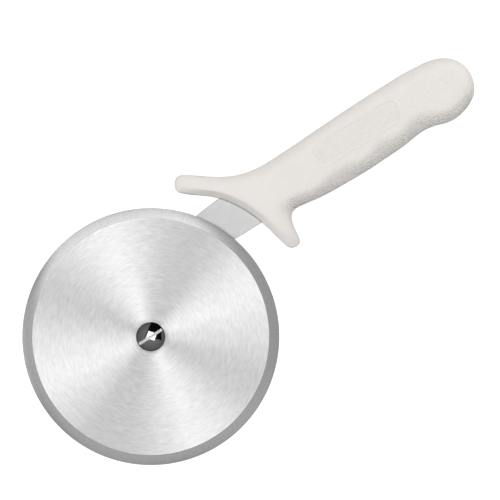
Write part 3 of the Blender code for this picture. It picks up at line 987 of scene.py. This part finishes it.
def arm_mouth():
    """The narrow gap round the arm where it enters the handle."""
    half = (ARM_HIGH.z - ARM_LOW.z) / 2 + MOUTH_GAP
    work = bmesh.new()
    corners = [work.verts.new((x * MM, y * MM, -half)) for x, y in MOUTH_CORNERS]
    base = work.faces.new(corners)
    raised = bmesh.ops.extrude_face_region(work, geom=[base])["geom"]
    top = [vert for vert in raised if isinstance(vert, bmesh.types.BMVert)]
    bmesh.ops.translate(work, verts=top, vec=(0, 0, 2 * half))
    bmesh.ops.recalc_face_normals(work, faces=work.faces)
    return mesh_from(work, "arm_mouth")


def refined_arm(material):
    """The CAD arm with its loose triangles merged, its flats joined and its edges smooth."""
    work = bmesh.new()
    work.from_mesh(frame["nodes"]["blade_arm"].data)
    bmesh.ops.remove_doubles(work, verts=work.verts, dist=TINY)
    bmesh.ops.dissolve_limit(
        work, angle_limit=ARM_FLAT_ANGLE, verts=work.verts, edges=work.edges
    )
    outline = [
        edge
        for edge in work.edges
        if edge.calc_face_angle(0) > ARM_EDGE_ANGLE
        and all((vert.co - AXLE).xy.length > SPACER_RADIUS for vert in edge.verts)
    ]
    bevel(work, outline, ARM_EDGE, clamp_overlap=True)
    return mesh_from(work, "sheet_steel_arm", material)


def length_property(name, description, default):
    """A setting in metres."""
    return FloatProperty(name=name, description=description, unit="LENGTH", default=default)


def brightness_of(name, light, default):
    """A setting for how bright a light is."""
    return FloatProperty(name=name, description=f"Brightness of {light}", default=default)


def colour_property(name, description, default):
    """A setting for a colour, as linear red, green and blue."""
    return FloatVectorProperty(
        name=name, description=description, subtype="COLOR", default=default, min=0, max=1
    )


class CutterHandleSettings(bpy.types.PropertyGroup):
    """Sizes and colour of the moulded handle.

    Real pebbles are finer than the picture can show, so they are drawn as coarse as it needs.
    """

    colour: colour_property("Plastic colour", "Colour of the handle", linear("#eae6e1")[:3])
    softness: FloatProperty(
        name="Plastic softness",
        description="Share of the light that spreads under the plastic's skin",
        subtype="FACTOR",
        default=0.2,
        min=0,
        max=1,
    )
    pebble_size: length_property("Pebble size", "Distance between the pebbles", 1.0 * MM)
    pebble_height: length_property("Pebble height", "Height of the pebbles", 0.3 * MM)
    relief: length_property("Mark relief", "How far the mark on the grip is raised", 0.25 * MM)


class CutterSteelSettings(bpy.types.PropertyGroup):
    """Sizes of the marks that brushing and grinding leave on the wheel.

    Real marks are finer than the picture can show, so they are drawn as coarse as it needs.
    """

    streak_length: length_property(
        "Brush mark length", "Length of the brush marks on the wheel's face", 4 * MM
    )
    streak_width: length_property(
        "Brush mark width", "Width of the brush marks on the wheel's face", 0.65 * MM
    )
    grind_streak_width: length_property(
        "Grinding mark width", "Width of the grinding marks on the wheel's edge", 0.6 * MM
    )


class CutterStageSettings(bpy.types.PropertyGroup):
    """Lights and floor round the cutter."""

    wheel_softbox: brightness_of("Wheel softbox", "the softbox that the wheel reflects", 1.58)
    wheel_bank: brightness_of("Wheel bank", "the wide bank behind the wheel's softbox", 0.56)
    wheel_strips: brightness_of("Wheel strips", "the strips that lay fans on the wheel", 1.94)
    softbox: brightness_of("Softbox", "the softbox that the arm and the bolt reflect", 2.45)
    key: brightness_of("Key light", "the handle's key light, which its others follow", 4.6)
    room_light: brightness_of("Room light", "the room round the steel", 0.16)
    floor_colour: colour_property("Floor colour", "Colour of the floor", (0.4, 0.4, 0.4))
    floor_glow: brightness_of("Floor glow", "the light that the floor gives off itself", 0.9)


class CUTTER_OT_mould_handle(bpy.types.Operator):
    """Mould the handle in one piece, with its parting line, raised mark and pebbled grip"""

    bl_idname = "cutter.mould_handle"
    bl_label = "Mould handle"

    def execute(self, context):
        settings = context.scene.cutter_handle
        skin = smooth_handle()
        work = bmesh.new()
        work.from_mesh(skin)
        raise_parting_line(work)
        raise_mark(work, settings.relief)
        mark_pebbles(work)
        work.to_mesh(skin)
        work.free()
        mesh = combined(skin, "moulded_handle", ("DIFFERENCE", arm_mouth()))
        mesh.transform(Matrix.Translation((AXLE.x, AXLE.y, MID_Z)))
        mesh.materials.clear()
        mesh.materials.append(pebbled_polypropylene(settings))
        finished_piece("moulded_handle", mesh, BODY, "handle", corner=40)
        return {"FINISHED"}


class CUTTER_OT_blank_arm(bpy.types.Operator):
    """Finish the arm, blanked from sheet steel"""

    bl_idname = "cutter.blank_arm"
    bl_label = "Blank arm"

    def execute(self, context):
        mesh = refined_arm(rolled_sheet_steel())
        finished_piece("sheet_steel_arm", mesh, BODY, "blade_arm", corner=30)
        return {"FINISHED"}


class CUTTER_OT_grind_wheel(bpy.types.Operator):
    """Turn the cutting wheel, with brushed faces and a ground edge"""

    bl_idname = "cutter.grind_wheel"
    bl_label = "Grind wheel"

    def execute(self, context):
        settings = context.scene.cutter_steel
        work = turned(wheel_profile(), WHEEL_STEPS)
        for face in work.faces:
            offset = face.calc_center_median() - AXLE
            face.material_index = int(offset.xy.length > WHEEL_RADIUS - GRIND_WIDTH)
        finishes = ring_brushed_steel(settings), cross_ground_steel(settings)
        mesh = mesh_from(work, "ground_wheel", *finishes)
        finished_piece(
            "ground_wheel", mesh, "wheel", "cutting_wheel", corner=3
        )
        return {"FINISHED"}


class CUTTER_OT_turn_bolt(bpy.types.Operator):
    """Turn the axle bolt and mill its slot"""

    bl_idname = "cutter.turn_bolt"
    bl_label = "Turn axle bolt"

    def execute(self, context):
        blank = mesh_from(turned(bolt_profile(), HARDWARE_STEPS), "bolt", polished_steel())
        mesh = combined(blank, "slotted_bolt", ("DIFFERENCE", slot_cutter(milled_steel())))
        break_slot_edges(mesh)
        finished_piece("slotted_bolt", mesh, BODY, "axle_bolt", corner=30)
        return {"FINISHED"}


class CUTTER_OT_make_nut_and_washers(bpy.types.Operator):
    """Make the domed nut, the split spring washer and the two plastic washers"""

    bl_idname = "cutter.make_nut_and_washers"
    bl_label = "Make nut and washers"

    def execute(self, context):
        bright = polished_steel()
        nut = combined(nut_blank(bright), "domed_nut", *nut_turnings(bright))
        finished_piece("domed_nut", nut, BODY, "cap_nut", corner=25)

        coil = mesh_from(spring_coil(), "split_spring", spring_steel())
        finished_piece(
            "split_spring_washer", coil, BODY, "lock_washer", corner=50
        )

        acetal = moulded_acetal()
        for name, node in (("thin_washer", "head_washer"), ("thick_washer", "spacer_washer")):
            low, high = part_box(node)
            profile = washer_profile(low.z, high.z, (high.x - low.x) / 2)
            ring = mesh_from(turned(profile, HARDWARE_STEPS), name, acetal)
            finished_piece(name, ring, BODY, node, corner=50)
        return {"FINISHED"}


def add_camera():
    """The photograph's camera: straight over the cutter, with a long lens."""
    scale = WHEEL_RADIUS / WHEEL_RADIUS_PX
    middle = (PHOTO_SIDE - 1) / 2
    right, up = middle - WHEEL_CENTRE_PX[0], WHEEL_CENTRE_PX[1] - middle
    place = AXLE.xy + Matrix.Rotation(-CUTTER_ANGLE, 2) @ Vector((right, up)) * scale
    camera = new_object("camera", bpy.data.cameras.new("camera"))
    camera.data.lens = camera.data.sensor_width * CAMERA_HEIGHT / (PHOTO_SIDE * scale)
    camera.location = (*place, WHEEL_HIGH.z + CAMERA_HEIGHT)
    camera.rotation_euler = (0, 0, -CUTTER_ANGLE)
    bpy.context.scene.camera = camera


def add_softbox(name, brightness, size, turn=0, shift=(0, 0), height=1.5, tilt=0):
    """A rectangular light that faces the wheel.

    It hangs at a height over the axle, shifted and turned as the picture shows it, and then
    leans away from straight overhead, towards its own turn. Angles are in degrees.
    """
    light = bpy.data.lights.new(name, "AREA")
    light.shape = "RECTANGLE"
    light.size, light.size_y = size
    light.energy = brightness * math.pi * size[0] * size[1]
    lamp = new_object(name, light)
    lamp.matrix_world = (
        Matrix.Translation((AXLE.x, AXLE.y, WHEEL_HIGH.z))
        @ Matrix.Rotation(-CUTTER_ANGLE, 4, "Z")
        @ Matrix.Translation((*shift, 0))
        @ Matrix.Rotation(math.radians(turn), 4, "Z")
        @ Matrix.Rotation(math.radians(tilt), 4, "Y")
        @ Matrix.Translation((0, 0, height))
    )
    return lamp


def light_only(lamp, piece, included):
    """Let a light fall only on a piece, or on everything but it."""
    group = bpy.data.collections.new(f"{lamp.name}_{piece.name}")
    group.objects.link(piece)
    if not included:
        group.collection_objects[0].light_linking.link_state = "EXCLUDE"
    lamp.light_linking.receiver_collection = group


def light_room(settings):
    """A pale room to the eye. The steel sees a dimmer one, with a dark corner overhead."""
    world = bpy.data.worlds.new("studio")
    bpy.context.scene.world = world
    world.use_nodes = True
    tree = world.node_tree
    direction = add_node(tree, "ShaderNodeTexCoord").outputs["Generated"]
    dark = 1.0
    for azimuth, start, end in DARK_CORNER:
        angle = math.radians(azimuth) - CUTTER_ANGLE
        inputs = {0: direction, 1: (math.cos(angle), math.sin(angle), 0)}
        towards = add_node(tree, "ShaderNodeVectorMath", inputs, operation="DOT_PRODUCT")
        inputs = {"Value": towards.outputs["Value"], "From Min": start, "From Max": end}
        inside = add_node(tree, "ShaderNodeMapRange", inputs)
        inputs = {0: inside.outputs["Result"], 1: dark}
        product = add_node(tree, "ShaderNodeMath", inputs, operation="MULTIPLY")
        dark = product.outputs["Value"]
    height = add_node(tree, "ShaderNodeSeparateXYZ", {0: direction}).outputs["Z"]
    inputs = {
        "Value": height,
        "From Min": ROOM_HEIGHTS[0],
        "From Max": ROOM_HEIGHTS[1],
        "To Min": settings.room_light * ROOM_SHARES[0],
        "To Max": settings.room_light * ROOM_SHARES[1],
    }
    overhead = add_node(tree, "ShaderNodeMapRange", inputs).outputs["Result"]
    inputs = {"Value": dark, "To Min": overhead, "To Max": DARK_CORNER_GLOW}
    lit = add_node(tree, "ShaderNodeMapRange", inputs).outputs["Result"]
    inputs = {
        "Value": height,
        "From Min": HORIZON_HEIGHTS[0],
        "From Max": HORIZON_HEIGHTS[1],
        "To Max": HORIZON_GLOW,
    }
    horizon = add_node(tree, "ShaderNodeMapRange", inputs).outputs["Result"]
    brighter = add_node(tree, "ShaderNodeMath", {0: lit, 1: horizon}, operation="MAXIMUM")
    glow = brighter.outputs["Value"]
    room, pale = (
        add_node(tree, "ShaderNodeBackground", {"Color": colour, "Strength": strength})
        for colour, strength in (((1, 1, 1, 1), glow), (linear("#eef0f2"), 1))
    )
    seen = add_node(tree, "ShaderNodeLightPath").outputs["Is Camera Ray"]
    inputs = {0: seen, 1: room.outputs["Background"], 2: pale.outputs["Background"]}
    both = add_node(tree, "ShaderNodeMixShader", inputs)
    tree.links.new(both.outputs["Shader"], tree.nodes["World Output"].inputs["Surface"])


class CUTTER_OT_set_stage(bpy.types.Operator):
    """Lay the floor, hang the lights and set the camera square over the cutter"""

    bl_idname = "cutter.set_stage"
    bl_label = "Set stage"

    def execute(self, context):
        settings = context.scene.cutter_stage
        work = bmesh.new()
        bmesh.ops.create_grid(work, x_segments=1, y_segments=1, size=FLOOR_REACH)
        floor = new_object("floor", mesh_from(work, "floor", opal_acrylic(settings)))
        add_camera()

        wheel = context.scene.objects["ground_wheel"]
        wheel_lights = [
            add_softbox("wheel_softbox", settings.wheel_softbox, **WHEEL_SOFTBOX),
            add_softbox("wheel_bank", settings.wheel_bank, **WHEEL_BANK),
        ]
        for turn in WHEEL_STRIP_AZIMUTHS:
            out = Matrix.Rotation(math.radians(turn), 2) @ Vector((WHEEL_STRIP_DISTANCE, 0))
            placed = {"turn": turn, "shift": out, **WHEEL_STRIP}
            strip = add_softbox(f"wheel_strip_{turn}", settings.wheel_strips, **placed)
            wheel_lights.append(strip)
        for lamp in wheel_lights:
            light_only(lamp, wheel, included=True)
        light_only(add_softbox("softbox", settings.softbox, **SOFTBOX), wheel, included=False)
        for name, turn, tilt, share in HANDLE_LIGHTS:
            placed = {"turn": turn, "tilt": tilt, **HANDLE_LIGHT}
            lamp = add_softbox(name, settings.key * share, **placed)
            lamp.visible_glossy = False
        light_only(floor, context.scene.objects["moulded_handle"], included=False)
        light_room(settings)
        context.scene.view_settings.view_transform = "Standard"
        return {"FINISHED"}


class VIEW3D_PT_pizza_cutter(bpy.types.Panel):
    """The cutter's settings and steps"""

    bl_label = "Pizza Cutter"
    bl_space_type = "VIEW_3D"
    bl_region_type = "UI"
    bl_category = "Pizza Cutter"

    def draw(self, context):
        scene = context.scene
        for group in (scene.cutter_handle, scene.cutter_steel, scene.cutter_stage):
            for name in group.bl_rna.properties.keys():
                if name not in ("rna_type", "name"):
                    self.layout.prop(group, name)
        for operator in STEPS:
            self.layout.operator(operator.bl_idname)


STEPS = (
    CUTTER_OT_mould_handle,
    CUTTER_OT_blank_arm,
    CUTTER_OT_grind_wheel,
    CUTTER_OT_turn_bolt,
    CUTTER_OT_make_nut_and_washers,
    CUTTER_OT_set_stage,
)
SETTINGS = {
    "cutter_handle": CutterHandleSettings,
    "cutter_steel": CutterSteelSettings,
    "cutter_stage": CutterStageSettings,
}
CLASSES = (*SETTINGS.values(), *STEPS, VIEW3D_PT_pizza_cutter)


def register():
    """Register the classes and hang the settings on the scene."""
    for cls in CLASSES:
        bpy.utils.register_class(cls)
    for name, group in SETTINGS.items():
        setattr(bpy.types.Scene, name, PointerProperty(type=group))


def unregister():
    """Take the settings off the scene and unregister the classes."""
    for name in SETTINGS:
        delattr(bpy.types.Scene, name)
    for cls in reversed(CLASSES):
        bpy.utils.unregister_class(cls)


def main():
    """Dress the cutter."""
    register()
    bpy.ops.cutter.mould_handle()
    bpy.ops.cutter.blank_arm()
    bpy.ops.cutter.grind_wheel()
    bpy.ops.cutter.turn_bolt()
    bpy.ops.cutter.make_nut_and_washers()
    bpy.ops.cutter.set_stage()


if __name__ == "__main__":
    main()
